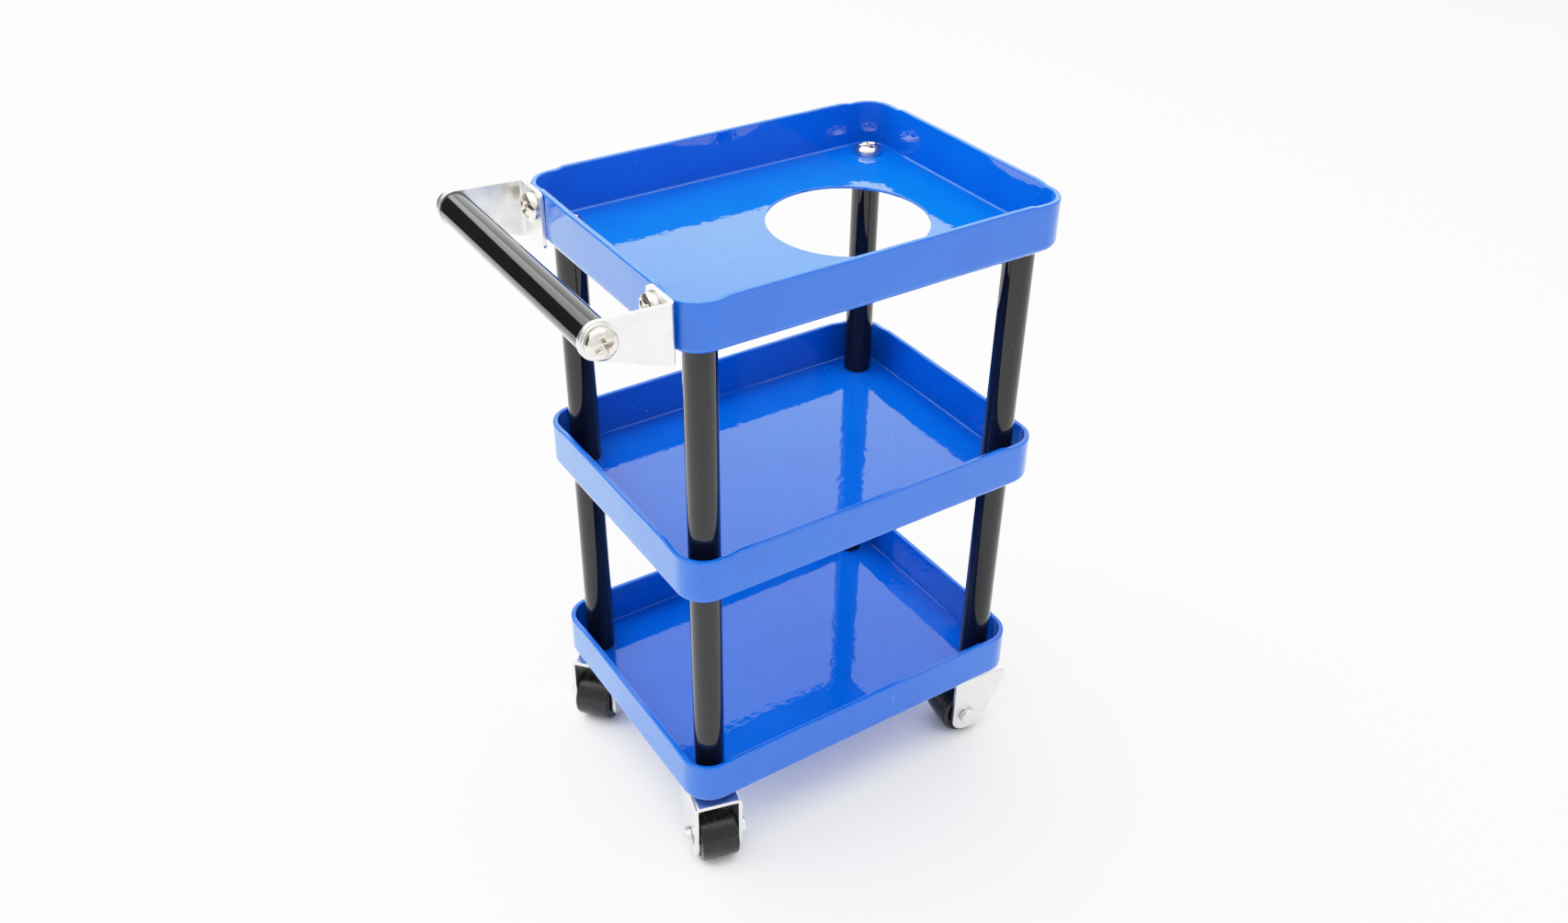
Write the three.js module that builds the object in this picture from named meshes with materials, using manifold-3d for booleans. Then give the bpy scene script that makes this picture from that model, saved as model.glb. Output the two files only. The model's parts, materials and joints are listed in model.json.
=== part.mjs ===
// A miniature three-tray rolling tool cart: pressed steel trays on four columns of round posts,
// a push handle at the rear and four swivel casters.
// Millimetres, +Z up. X runs along the trays, with the handle at -X (the rear). The origin is on the
// floor, midway between the four columns of posts.
import * as THREE from 'three';
import { mergeVertices } from 'three/addons/utils/BufferGeometryUtils.js';
import Module from 'manifold-3d';

const wasm = await Module();
wasm.setup();

// Driving dimensions

const TRAY_LENGTH = 80.6;
const TRAY_WIDTH = 60.6;
const TRAY_HEIGHT = 9.9;
const TRAY_CORNER_RADIUS = 6;
const WALL_THICKNESS = 1.1;
const FLOOR_SHEET = 0.6;
const FOLD_RADIUS = 0.4;
const RIM_STEP = 0.35;
const RIM_STEP_REACH = 9;

const HOLE_DIAMETER = 31;
const HOLE_X = 11.6;
const HOLE_Y = -0.8;

const POST_DIAMETER = 6;
const POST_LENGTH = 50.6;
const POST_INSET = 6.3;
const TAPPED_DEPTH = 9;

const THREAD_DIAMETER = 3;
const THREAD_CLEARANCE = 0.1;
const SCREW_LENGTH = 8;
const SCREW_HEAD_DIAMETER = 5.5;
const SCREW_HEAD_HEIGHT = 2;
const WASHER_DIAMETER = 6.2;
const WASHER_THICKNESS = 0.5;

const HANDLE_REACH = 13.5;
const HANDLE_DROP = 2.65;
const HANDLE_ROD_LENGTH = 55;
const BRACKET_SHEET = 0.8;
const BRACKET_HEIGHT = 11;
const BRACKET_FLANGE_WIDTH = 8.6;
const BRACKET_END_RADIUS = 3.3;
const BRACKET_CORNER_RADIUS = 1.2;
const BRACKET_SCREW_DROP = 3.2;
const BRACKET_SCREW_MARGIN = 2.7;

const WHEEL_DIAMETER = 11;
const WHEEL_WIDTH = 7.8;
const WHEEL_EDGE_RADIUS = 0.7;
const FORK_SHEET = 0.8;
const FORK_INNER_WIDTH = 8.4;
const FORK_BEND_RADIUS = 1.2;
const FORK_FRONT = 6.3;
const FORK_BACK = 5.9;
const FORK_HEIGHT = 15.1;
const FORK_CLEARANCE = 1.5;
const AXLE_TRAIL = 2.8;
const AXLE_DIAMETER = 2;
const AXLE_CLEARANCE = 0.05;
const EAR_HOLE_CLEARANCE = 0.1;
const RIVET_HEAD_DIAMETER = 4;
const RIVET_HEAD_HEIGHT = 1.3;
const BUSH_DIAMETER = 7;
const BUSH_SLEEVE_DIAMETER = 4.2;
const BUSH_FLANGE = 0.8;
const SWIVEL_PLAY = 0.1;

// Each corner: where it stands, and which way its caster's axle trails from the swivel, in degrees.
const CORNERS = [
  { name: 'rear_right', x: -1, y: -1, trail: -104.6 },
  { name: 'front_right', x: 1, y: -1, trail: 171 },
  { name: 'rear_left', x: -1, y: 1, trail: -139 },
  { name: 'front_left', x: 1, y: 1, trail: 128 },
];
const SIDES = [
  { name: 'right', y: -1 },
  { name: 'left', y: 1 },
];

// Worked-out levels and places

const POST_X = TRAY_LENGTH / 2 - POST_INSET;
const POST_Y = TRAY_WIDTH / 2 - POST_INSET;
const FORK_TOP = FORK_CLEARANCE + FORK_HEIGHT;
const BOTTOM_TRAY = FORK_TOP + SWIVEL_PLAY + BUSH_FLANGE;
const TRAY_PITCH = POST_LENGTH + FLOOR_SHEET;
const MIDDLE_TRAY = BOTTOM_TRAY + TRAY_PITCH;
const TOP_TRAY = MIDDLE_TRAY + TRAY_PITCH;
const TOP_RIM = TOP_TRAY + TRAY_HEIGHT;
const REAR_WALL = -TRAY_LENGTH / 2;
const ROD_X = REAR_WALL - HANDLE_REACH;
const ROD_Z = TOP_RIM - HANDLE_DROP;
const EAR_OUTSIDE = HANDLE_ROD_LENGTH / 2 + BRACKET_SHEET;
const BRACKET_SCREW_Y = EAR_OUTSIDE - BRACKET_FLANGE_WIDTH + BRACKET_SCREW_MARGIN;
const BRACKET_SCREW_Z = TOP_RIM - BRACKET_SCREW_DROP;
const AXLE_Z = WHEEL_DIAMETER / 2;
const FORK_HALF_WIDTH = FORK_INNER_WIDTH / 2 + FORK_SHEET;
const CLEARANCE_HOLE = THREAD_DIAMETER + 2 * THREAD_CLEARANCE;
const OVERSHOOT = 1;
const FOLD_SEGMENTS = 2;
const QUARTER = Math.PI / 2;

const ENAMEL = { color: 0x0b4fb8, roughness: 0.18, metalness: 0.1 };
const BLACK_GLOSS = { color: 0x0c0c0d, roughness: 0.2, metalness: 0.3 };
const ZINC = { color: 0xc9cccb, roughness: 0.35, metalness: 0.9 };
const NICKEL = { color: 0xb9b2a6, roughness: 0.2, metalness: 1 };
const WHEEL_BLACK = { color: 0x18181a, roughness: 0.45, metalness: 0 };

const cart = new THREE.Group();

// Joining and cutting

/** A solid that can be joined and cut, from a closed geometry. */
function solid(geometry) {
  const bare = geometry.clone();
  bare.deleteAttribute('normal');
  bare.deleteAttribute('uv');
  const merged = mergeVertices(bare);
  const triangles = [];
  for (let i = 0; i < merged.index.count; i += 3) {
    const [a, b, c] = merged.index.array.slice(i, i + 3);
    if (a !== b && b !== c && c !== a) triangles.push(a, b, c);
  }
  return new wasm.Manifold(
    new wasm.Mesh({
      numProp: 3,
      vertProperties: merged.attributes.position.array,
      triVerts: new Uint32Array(triangles),
    }),
  );
}

/** The geometry of a solid that has been joined or cut. */
function geometryOf(body) {
  const { vertProperties, triVerts } = body.getMesh();
  const geometry = new THREE.BufferGeometry();
  geometry.setAttribute('position', new THREE.BufferAttribute(vertProperties, 3));
  geometry.setIndex(new THREE.BufferAttribute(triVerts, 1));
  geometry.computeVertexNormals();
  return geometry;
}

/** One named piece, placed in its parent group. */
function addPiece(parent, name, geometry, finish, place = [0, 0, 0]) {
  const mesh = new THREE.Mesh(geometry, new THREE.MeshStandardMaterial(finish));
  mesh.name = name;
  mesh.position.set(...place);
  parent.add(mesh);
}

// Shared shapes

/** A turned shape about Z, from [radius, z] points given upwards along its outside. */
function turned(profile, segments) {
  const points = profile.map(([radius, z]) => new THREE.Vector2(radius, z));
  return new THREE.LatheGeometry(points, segments).rotateX(QUARTER);
}

/** A turned ring about Z: its [radius, z] outline closes on itself. */
function ring(outline, segments) {
  return turned([...outline, outline[0]], segments);
}

/** A round bar about Z that starts at z = from, for cutting holes. */
function bar(diameter, from, length, segments = 16) {
  return new THREE.CylinderGeometry(diameter / 2, diameter / 2, length, segments)
    .rotateX(QUARTER)
    .translate(0, 0, from + length / 2);
}

function roundedRectangle(length, width, radius) {
  const x = length / 2 - radius;
  const y = width / 2 - radius;
  const shape = new THREE.Shape();
  shape.absarc(x, y, radius, 0, QUARTER);
  shape.absarc(-x, y, radius, QUARTER, 2 * QUARTER);
  shape.absarc(-x, -y, radius, 2 * QUARTER, 3 * QUARTER);
  shape.absarc(x, -y, radius, 3 * QUARTER, 4 * QUARTER);
  return shape;
}

/** A plain extrusion of a shape drawn in X and Y, upwards from z = 0. */
function slab(shape, depth, curveSegments = 6) {
  return new THREE.ExtrudeGeometry(shape, { depth, curveSegments, bevelEnabled: false });
}

/** A slab whose drawing stands upright: drawn X stays X, drawn Y becomes Z, centred on y = 0. */
function uprightSlab(shape, depth, curveSegments) {
  return slab(shape, depth, curveSegments).translate(0, 0, -depth / 2).rotateX(QUARTER);
}

// Trays

/** A block with round upright corners and a round fold along its bottom edge. */
function foldedBlock(length, width, cornerRadius, foldRadius, height) {
  return new THREE.ExtrudeGeometry(roundedRectangle(length, width, cornerRadius), {
    depth: height - 2 * foldRadius,
    curveSegments: 6,
    bevelThickness: foldRadius,
    bevelSize: foldRadius,
    bevelOffset: -foldRadius,
    bevelSegments: FOLD_SEGMENTS,
  }).translate(0, 0, foldRadius);
}

/**
 * The pan with its four screw holes: a single-sheet floor, and walls folded over double.
 * The rim steps down a little around each corner.
 */
function trayBody() {
  const tall = TRAY_HEIGHT + 4 * FOLD_RADIUS + 4 * WALL_THICKNESS;
  const outside = foldedBlock(
    TRAY_LENGTH, TRAY_WIDTH, TRAY_CORNER_RADIUS, FOLD_RADIUS + WALL_THICKNESS, tall);
  const inside = foldedBlock(
    TRAY_LENGTH - 2 * WALL_THICKNESS, TRAY_WIDTH - 2 * WALL_THICKNESS,
    TRAY_CORNER_RADIUS - WALL_THICKNESS, FOLD_RADIUS, tall,
  ).translate(0, 0, FLOOR_SHEET);
  const above = new THREE.BoxGeometry(2 * TRAY_LENGTH, 2 * TRAY_WIDTH, tall)
    .translate(0, 0, TRAY_HEIGHT + tall / 2);
  let pan = solid(outside).subtract(solid(inside)).subtract(solid(above));
  for (const { x, y } of CORNERS) {
    const step = new THREE.BoxGeometry(2 * RIM_STEP_REACH, 2 * RIM_STEP_REACH, 2 * RIM_STEP)
      .translate(x * TRAY_LENGTH / 2, y * TRAY_WIDTH / 2, TRAY_HEIGHT);
    const screwHole = bar(CLEARANCE_HOLE, -OVERSHOOT, FLOOR_SHEET + 2 * OVERSHOOT)
      .translate(x * POST_X, y * POST_Y, 0);
    pan = pan.subtract(solid(step)).subtract(solid(screwHole));
  }
  return pan;
}

/** The top pan also has the large round hole, and two bracket screw holes in its rear wall. */
function topTrayBody() {
  const largeHole = bar(HOLE_DIAMETER, -OVERSHOOT, FLOOR_SHEET + 2 * OVERSHOOT, 48)
    .translate(HOLE_X, HOLE_Y, 0);
  let pan = trayBody().subtract(solid(largeHole));
  for (const { y } of SIDES) {
    const wallHole = bar(CLEARANCE_HOLE, -OVERSHOOT, WALL_THICKNESS + 2 * OVERSHOOT)
      .rotateY(QUARTER)
      .translate(REAR_WALL, y * BRACKET_SCREW_Y, BRACKET_SCREW_Z - TOP_TRAY);
    pan = pan.subtract(solid(wallHole));
  }
  return pan;
}

// Posts, screws and other round pieces

/** A round rod along Z with a tapped hole in each end. */
function tappedRod(length) {
  const bore = THREAD_DIAMETER / 2 + THREAD_CLEARANCE / 2;
  const outside = POST_DIAMETER / 2;
  return turned([
    [0, TAPPED_DEPTH],
    [bore, TAPPED_DEPTH],
    [bore, 0],
    [outside, 0],
    [outside, length],
    [bore, length],
    [bore, length - TAPPED_DEPTH],
    [0, length - TAPPED_DEPTH],
  ], 16);
}

/** A pan-head screw along Z, its head above z = 0 and its shank below, with a cross recess. */
function screw(shankLength) {
  const thread = THREAD_DIAMETER / 2;
  const head = SCREW_HEAD_DIAMETER / 2;
  const tip = 0.4;
  const rim = 0.45 * SCREW_HEAD_HEIGHT;
  const profile = [
    [0, -shankLength],
    [thread - tip, -shankLength],
    [thread, tip - shankLength],
    [thread, 0],
    [head, 0],
    [head, rim],
  ];
  const domeSteps = 2;
  for (let i = 1; i <= domeSteps; i += 1) {
    const angle = QUARTER * i / domeSteps;
    profile.push([head * Math.cos(angle), rim + (SCREW_HEAD_HEIGHT - rim) * Math.sin(angle)]);
  }
  profile[profile.length - 1][0] = 0;
  const recessLength = 3;
  const recessWidth = 0.6;
  const recessDepth = 1.2;
  const slot = new THREE.BoxGeometry(recessLength, recessWidth, 2 * recessDepth)
    .translate(0, 0, SCREW_HEAD_HEIGHT);
  const crossSlot = slot.clone().rotateZ(QUARTER);
  return geometryOf(solid(turned(profile, 16)).subtract(solid(slot)).subtract(solid(crossSlot)));
}

/** A headless stud along Z, centred on the origin. */
function stud(length) {
  return bar(THREAD_DIAMETER, -length / 2, length, 16);
}

function washer() {
  const inside = CLEARANCE_HOLE / 2;
  const outside = WASHER_DIAMETER / 2;
  return ring([
    [inside, 0],
    [outside, 0],
    [outside, WASHER_THICKNESS],
    [inside, WASHER_THICKNESS],
  ], 20);
}

// Handle

/** The bracket's ear seen from the side: level top, round end about the rod, rising lower edge. */
function earOfBracket() {
  const wall = REAR_WALL;
  const bottom = TOP_RIM - BRACKET_HEIGHT;
  const toFoot = Math.atan2(bottom - ROD_Z, wall - ROD_X);
  const distance = Math.hypot(wall - ROD_X, ROD_Z - bottom);
  const tangent = toFoot - Math.acos(BRACKET_END_RADIUS / distance);
  const shape = new THREE.Shape();
  shape.moveTo(wall, bottom);
  shape.lineTo(wall, TOP_RIM);
  shape.absarc(ROD_X, ROD_Z, BRACKET_END_RADIUS, QUARTER, 4 * QUARTER + tangent, false);
  shape.closePath();
  return uprightSlab(shape, BRACKET_SHEET, 10);
}

/** The bracket's flange, with X across its width from the ear to its free end and Y up. */
function flangeOfBracket() {
  const width = BRACKET_FLANGE_WIDTH;
  const height = BRACKET_HEIGHT;
  const corner = BRACKET_CORNER_RADIUS;
  const shape = new THREE.Shape();
  shape.moveTo(0, 0);
  shape.absarc(width - corner, corner, corner, -QUARTER, 0, false);
  shape.absarc(width - corner, height - corner, corner, 0, QUARTER, false);
  shape.lineTo(0, height);
  shape.closePath();
  return slab(shape, BRACKET_SHEET, 3);
}

function bracket(side) {
  const ear = earOfBracket().translate(0, side * (EAR_OUTSIDE - BRACKET_SHEET / 2), 0);
  const flange = flangeOfBracket().rotateX(QUARTER).rotateZ(-side * QUARTER);
  const flangeX = side < 0 ? REAR_WALL - BRACKET_SHEET : REAR_WALL;
  flange.translate(flangeX, side * EAR_OUTSIDE, TOP_RIM - BRACKET_HEIGHT);
  const wallHole = bar(CLEARANCE_HOLE, -2 * OVERSHOOT, 4 * OVERSHOOT)
    .rotateY(QUARTER)
    .translate(REAR_WALL, side * BRACKET_SCREW_Y, BRACKET_SCREW_Z);
  const rodHole = bar(CLEARANCE_HOLE, -2 * OVERSHOOT, 4 * OVERSHOOT)
    .rotateX(QUARTER)
    .translate(ROD_X, side * EAR_OUTSIDE, ROD_Z);
  return geometryOf(
    solid(ear).add(solid(flange)).subtract(solid(wallHole)).subtract(solid(rodHole)),
  );
}

// Casters, in their own frame: swivel axis on Z, floor at z = 0, the axle towards +X

/** The ear seen from the side: upright front edge, round foot, slanting back edge. */
function earOutline() {
  const foot = FORK_CLEARANCE;
  const footRadius = 3;
  const heelRadius = 1.2;
  const heelX = 0.6;
  const heelTurn = 1.15 * 2 * QUARTER;
  const shoulder = 13.5;
  const slantTop = new THREE.Vector2(-5.4, 12.5);
  const shape = new THREE.Shape();
  shape.moveTo(FORK_FRONT, FORK_TOP);
  shape.lineTo(-FORK_BACK, FORK_TOP);
  shape.lineTo(-FORK_BACK, shoulder);
  shape.lineTo(slantTop.x, slantTop.y);
  shape.absarc(heelX, foot + heelRadius, heelRadius, heelTurn, 3 * QUARTER, false);
  shape.absarc(FORK_FRONT - footRadius, foot + footRadius, footRadius, 3 * QUARTER, 4 * QUARTER, false);
  shape.closePath();
  return shape;
}

/** The bent sheet seen from the front, drawn with X across the fork and Y upwards. */
function forkSection() {
  const outside = FORK_HALF_WIDTH;
  const inside = FORK_INNER_WIDTH / 2;
  const bend = FORK_BEND_RADIUS;
  const innerBend = FORK_BEND_RADIUS - FORK_SHEET;
  const top = FORK_TOP;
  const shape = new THREE.Shape();
  shape.moveTo(-outside, 0);
  shape.lineTo(-inside, 0);
  shape.absarc(innerBend - inside, top - bend, innerBend, 2 * QUARTER, QUARTER, true);
  shape.absarc(inside - innerBend, top - bend, innerBend, QUARTER, 0, true);
  shape.lineTo(inside, 0);
  shape.lineTo(outside, 0);
  shape.absarc(outside - bend, top - bend, bend, 0, QUARTER, false);
  shape.absarc(bend - outside, top - bend, bend, QUARTER, 2 * QUARTER, false);
  shape.closePath();
  return shape;
}

function fork() {
  const length = 4 * FORK_FRONT;
  const channel = slab(forkSection(), length, 3)
    .translate(0, 0, -length / 2)
    .rotateX(QUARTER)
    .rotateZ(QUARTER);
  const outline = uprightSlab(earOutline(), 4 * FORK_HALF_WIDTH, 6);
  const axleHole = bar(AXLE_DIAMETER + 2 * EAR_HOLE_CLEARANCE, -length / 2, length)
    .rotateX(QUARTER)
    .translate(AXLE_TRAIL, 0, AXLE_Z);
  const swivelHole = bar(BUSH_SLEEVE_DIAMETER + 2 * SWIVEL_PLAY, FORK_TOP - 2 * FORK_SHEET, 4 * FORK_SHEET);
  return geometryOf(
    solid(channel)
      .intersect(solid(outline))
      .subtract(solid(axleHole))
      .subtract(solid(swivelHole)),
  );
}

/** The roller about Z, centred on z = 0, with round edges and a plain bore. */
function wheel() {
  const bore = AXLE_DIAMETER / 2 + AXLE_CLEARANCE;
  const outside = WHEEL_DIAMETER / 2;
  const half = WHEEL_WIDTH / 2;
  const outline = [[bore, -half]];
  const steps = 2;
  for (const end of [-1, 1]) {
    for (let i = 0; i <= steps; i += 1) {
      const angle = QUARTER * (end < 0 ? i - steps : i) / steps;
      outline.push([
        outside - WHEEL_EDGE_RADIUS * (1 - Math.cos(angle)),
        end * (half - WHEEL_EDGE_RADIUS) + WHEEL_EDGE_RADIUS * Math.sin(angle),
      ]);
    }
  }
  outline.push([bore, half]);
  return ring(outline, 24);
}

/** The axle rivet about Z, centred on z = 0: a plain pin with a flat head outside each ear. */
function rivet() {
  const pin = AXLE_DIAMETER / 2;
  const head = RIVET_HEAD_DIAMETER / 2;
  const under = FORK_HALF_WIDTH;
  const end = FORK_HALF_WIDTH + RIVET_HEAD_HEIGHT;
  return turned([
    [0, -end],
    [head, -end],
    [head, -under],
    [pin, -under],
    [pin, under],
    [head, under],
    [head, end],
    [0, end],
  ], 16);
}

/** The flanged bush between fork and tray: its sleeve passes down through the fork. */
function bush() {
  const bore = CLEARANCE_HOLE / 2;
  const sleeve = BUSH_SLEEVE_DIAMETER / 2;
  const flange = BUSH_DIAMETER / 2;
  const foot = FORK_TOP - FORK_SHEET - SWIVEL_PLAY;
  const shoulder = FORK_TOP + SWIVEL_PLAY;
  return ring([
    [bore, foot],
    [sleeve, foot],
    [sleeve, shoulder],
    [flange, shoulder],
    [flange, BOTTOM_TRAY],
    [bore, BOTTOM_TRAY],
  ], 16);
}

function addCaster(corner) {
  const caster = new THREE.Group();
  caster.position.set(corner.x * POST_X, corner.y * POST_Y, 0);
  caster.rotation.z = THREE.MathUtils.degToRad(corner.trail);
  cart.add(caster);
  const axlePlace = [AXLE_TRAIL, 0, AXLE_Z];
  const screwLength = SCREW_LENGTH + BUSH_FLANGE + FORK_SHEET + FLOOR_SHEET;
  const headTop = FORK_TOP - FORK_SHEET - SWIVEL_PLAY;
  addPiece(caster, `caster_fork_${corner.name}`, fork(), ZINC);
  addPiece(caster, `caster_wheel_${corner.name}`, wheel().rotateX(QUARTER), WHEEL_BLACK, axlePlace);
  addPiece(caster, `caster_axle_${corner.name}`, rivet().rotateX(QUARTER), NICKEL, axlePlace);
  addPiece(caster, `caster_bush_${corner.name}`, bush(), ZINC);
  addPiece(caster, `caster_screw_${corner.name}`, screw(screwLength).rotateX(2 * QUARTER), NICKEL,
    [0, 0, headTop]);
}

function addColumn(corner) {
  const x = corner.x * POST_X;
  const y = corner.y * POST_Y;
  const lowerFoot = BOTTOM_TRAY + FLOOR_SHEET;
  const upperFoot = MIDDLE_TRAY + FLOOR_SHEET;
  const studMiddle = MIDDLE_TRAY + FLOOR_SHEET / 2;
  addPiece(cart, `lower_post_${corner.name}`, tappedRod(POST_LENGTH), BLACK_GLOSS, [x, y, lowerFoot]);
  addPiece(cart, `upper_post_${corner.name}`, tappedRod(POST_LENGTH), BLACK_GLOSS, [x, y, upperFoot]);
  addPiece(cart, `post_stud_${corner.name}`, stud(2 * SCREW_LENGTH), ZINC, [x, y, studMiddle]);
  addPiece(cart, `top_screw_${corner.name}`, screw(SCREW_LENGTH), NICKEL, [x, y, TOP_TRAY + FLOOR_SHEET]);
}

function addHandle() {
  const rod = tappedRod(HANDLE_ROD_LENGTH).translate(0, 0, -HANDLE_ROD_LENGTH / 2).rotateX(QUARTER);
  addPiece(cart, 'handle_rod', rod, BLACK_GLOSS, [ROD_X, 0, ROD_Z]);
  for (const { name, y } of SIDES) {
    const outwards = -y * QUARTER;
    const washerPlace = [ROD_X, y * EAR_OUTSIDE, ROD_Z];
    const endScrewPlace = [ROD_X, y * (EAR_OUTSIDE + WASHER_THICKNESS), ROD_Z];
    const flangeScrewPlace = [REAR_WALL - BRACKET_SHEET, y * BRACKET_SCREW_Y, BRACKET_SCREW_Z];
    const flangeScrewLength = BRACKET_SHEET + WALL_THICKNESS;
    addPiece(cart, `handle_bracket_${name}`, bracket(y), ZINC);
    addPiece(cart, `handle_washer_${name}`, washer().rotateX(outwards), ZINC, washerPlace);
    addPiece(cart, `handle_end_screw_${name}`, screw(SCREW_LENGTH).rotateX(outwards), NICKEL,
      endScrewPlace);
    addPiece(cart, `bracket_screw_${name}`, screw(flangeScrewLength).rotateY(-QUARTER), NICKEL,
      flangeScrewPlace);
  }
}

addPiece(cart, 'bottom_tray', geometryOf(trayBody()), ENAMEL, [0, 0, BOTTOM_TRAY]);
addPiece(cart, 'middle_tray', geometryOf(trayBody()), ENAMEL, [0, 0, MIDDLE_TRAY]);
addPiece(cart, 'top_tray', geometryOf(topTrayBody()), ENAMEL, [0, 0, TOP_TRAY]);
for (const corner of CORNERS) {
  addColumn(corner);
  addCaster(corner);
}
addHandle();

export default cart;
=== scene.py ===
"""The looks of a miniature three-tray rolling tool cart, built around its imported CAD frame.

Metres, +Z up, in the CAD frame: +X runs along the trays away from the handle, the floor is z = 0.
Pieces are made in millimetres where they are drawn, and scaled once when they become meshes.
"""

import json
import math

import bpy
from mathutils import Matrix, Vector, noise
from mathutils.geometry import delaunay_2d_cdt


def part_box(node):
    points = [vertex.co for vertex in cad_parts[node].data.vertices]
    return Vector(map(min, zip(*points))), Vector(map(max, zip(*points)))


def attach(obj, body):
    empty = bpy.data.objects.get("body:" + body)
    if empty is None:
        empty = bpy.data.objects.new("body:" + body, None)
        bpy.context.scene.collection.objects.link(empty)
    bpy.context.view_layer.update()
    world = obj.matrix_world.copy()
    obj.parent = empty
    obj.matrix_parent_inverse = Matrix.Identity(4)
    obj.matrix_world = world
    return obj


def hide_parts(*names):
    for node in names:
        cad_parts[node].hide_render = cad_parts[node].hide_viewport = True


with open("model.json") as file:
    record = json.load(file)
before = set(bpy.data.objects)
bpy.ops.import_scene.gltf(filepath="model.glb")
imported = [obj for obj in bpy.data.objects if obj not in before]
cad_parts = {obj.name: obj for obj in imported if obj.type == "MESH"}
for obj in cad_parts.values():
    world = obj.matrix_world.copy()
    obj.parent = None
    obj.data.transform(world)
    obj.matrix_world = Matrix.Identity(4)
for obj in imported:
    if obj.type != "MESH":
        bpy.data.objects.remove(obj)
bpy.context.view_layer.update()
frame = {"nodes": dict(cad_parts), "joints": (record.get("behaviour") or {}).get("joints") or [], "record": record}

MM = 0.001
QUARTER = math.pi / 2
CORNERS = ("rear_right", "front_right", "rear_left", "front_left")
SIDES = {"right": -1, "left": 1}
BODY_OF = {node: body for body, nodes in frame["record"]["behaviour"]["bodies"].items() for node in nodes}
JOINTS = {joint["name"]: joint for joint in frame["joints"]}


def box_mm(node):
    """The lowest and highest corner of a CAD node, in millimetres."""
    low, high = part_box(node)
    return low / MM, high / MM


def size_mm(node):
    low, high = box_mm(node)
    return high - low


def middle_mm(node):
    low, high = box_mm(node)
    return (high + low) / 2


# Sizes from the frame, in millimetres
TRAY_LENGTH, TRAY_WIDTH, TRAY_HEIGHT = size_mm("middle_tray")
TOP_RIM = box_mm("top_tray")[1].z
REAR_WALL = box_mm("top_tray")[0].x
POST_RADIUS = size_mm("upper_post_rear_right").x / 2
POST_LENGTH = size_mm("upper_post_rear_right").z
ROD = middle_mm("handle_rod")
ROD_LENGTH = size_mm("handle_rod").y
EAR_OUTSIDE = box_mm("handle_bracket_left")[1].y
EAR_RADIUS = ROD.x - box_mm("handle_bracket_left")[0].x
BRACKET_FOOT = box_mm("handle_bracket_left")[0].z
FLANGE_EDGE = box_mm("handle_bracket_left")[0].y
BRACKET_SCREW = middle_mm("bracket_screw_left")
WASHER_THICKNESS = size_mm("handle_washer_left").y
SCREW_HEAD_RADIUS = size_mm("top_screw_rear_right").x / 2
FORK_TOP = box_mm("caster_fork_rear_right")[1].z
FORK_FOOT = box_mm("caster_fork_rear_right")[0].z
BUSH_TOP = box_mm("caster_bush_rear_right")[1].z
BUSH_FOOT = box_mm("caster_bush_rear_right")[0].z
CASTER_SCREW_HEAD = box_mm("caster_screw_rear_right")[0].z
WHEEL_RADIUS = size_mm("caster_wheel_rear_right").z / 2
FLOOR_SHEET = box_mm("lower_post_rear_right")[0].z - box_mm("bottom_tray")[0].z

# Sizes that the frame's boxes don't give, in millimetres
WALL_THICKNESS = 1.1
TRAY_CORNER = 6.0
INNER_FOLD = 0.4
PAINT_ROUND = 0.34
RIM_GROOVE = 0.06
HOLE_EDGE_RADIUS = 0.14
RIM_STEP = 0.35
RIM_STEP_REACH = 8.6
LARGE_HOLE = Vector((11.6, -0.8))
LARGE_HOLE_RADIUS = 15.5
SCREW_HOLE_RADIUS = 1.6
ZINC_SHEET = 0.8
BEND_RADIUS = 1.2
SCREW_HEAD_HEIGHT = 2.0
FORK_HALF_WIDTH = 5.0
FORK_FRONT = 6.3
FORK_BACK = 5.9
WHEEL_HALF_WIDTH = 3.9
RIVET_RADIUS = 2.0
RIVET_HEIGHT = 1.3
SHEET_EDGE_RADIUS = 0.1
SCREW_SHANK = 8.0

# Angles above which an edge is a crease, and above which it is rounded
CREASE = math.radians(38)
ROUNDED_EDGE = math.radians(50)


# Drawing outlines

def arc(centre, radius, start, end, steps):
    """Points along an arc, from one angle to another, both ends included."""
    angles = [start + (end - start) * i / steps for i in range(steps + 1)]
    return [Vector((centre[0] + radius * math.cos(a), centre[1] + radius * math.sin(a))) for a in angles]


def circle(centre, radius, steps):
    return arc(centre, radius, 0, 4 * QUARTER, steps)[:-1]


def eased(points, radius, steps=3):
    """A closed outline with every corner cut back to an arc-like curve of about this radius."""
    smooth = []
    for i, corner in enumerate(points):
        before = Vector(points[i - 1]) - Vector(corner)
        after = Vector(points[(i + 1) % len(points)]) - Vector(corner)
        reach = min(radius, before.length / 2, after.length / 2)
        first = Vector(corner) + before.normalized() * reach
        last = Vector(corner) + after.normalized() * reach
        for k in range(steps + 1):
            t = k / steps
            smooth.append((1 - t) ** 2 * first + 2 * t * (1 - t) * Vector(corner) + t ** 2 * last)
    return smooth


def inside(point, loop):
    """Whether a point lies inside a closed loop."""
    odd = False
    for a, b in zip(loop, loop[1:] + loop[:1]):
        if (a.y > point.y) != (b.y > point.y):
            if point.x < a.x + (point.y - a.y) * (b.x - a.x) / (b.y - a.y):
                odd = not odd
    return odd


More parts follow.
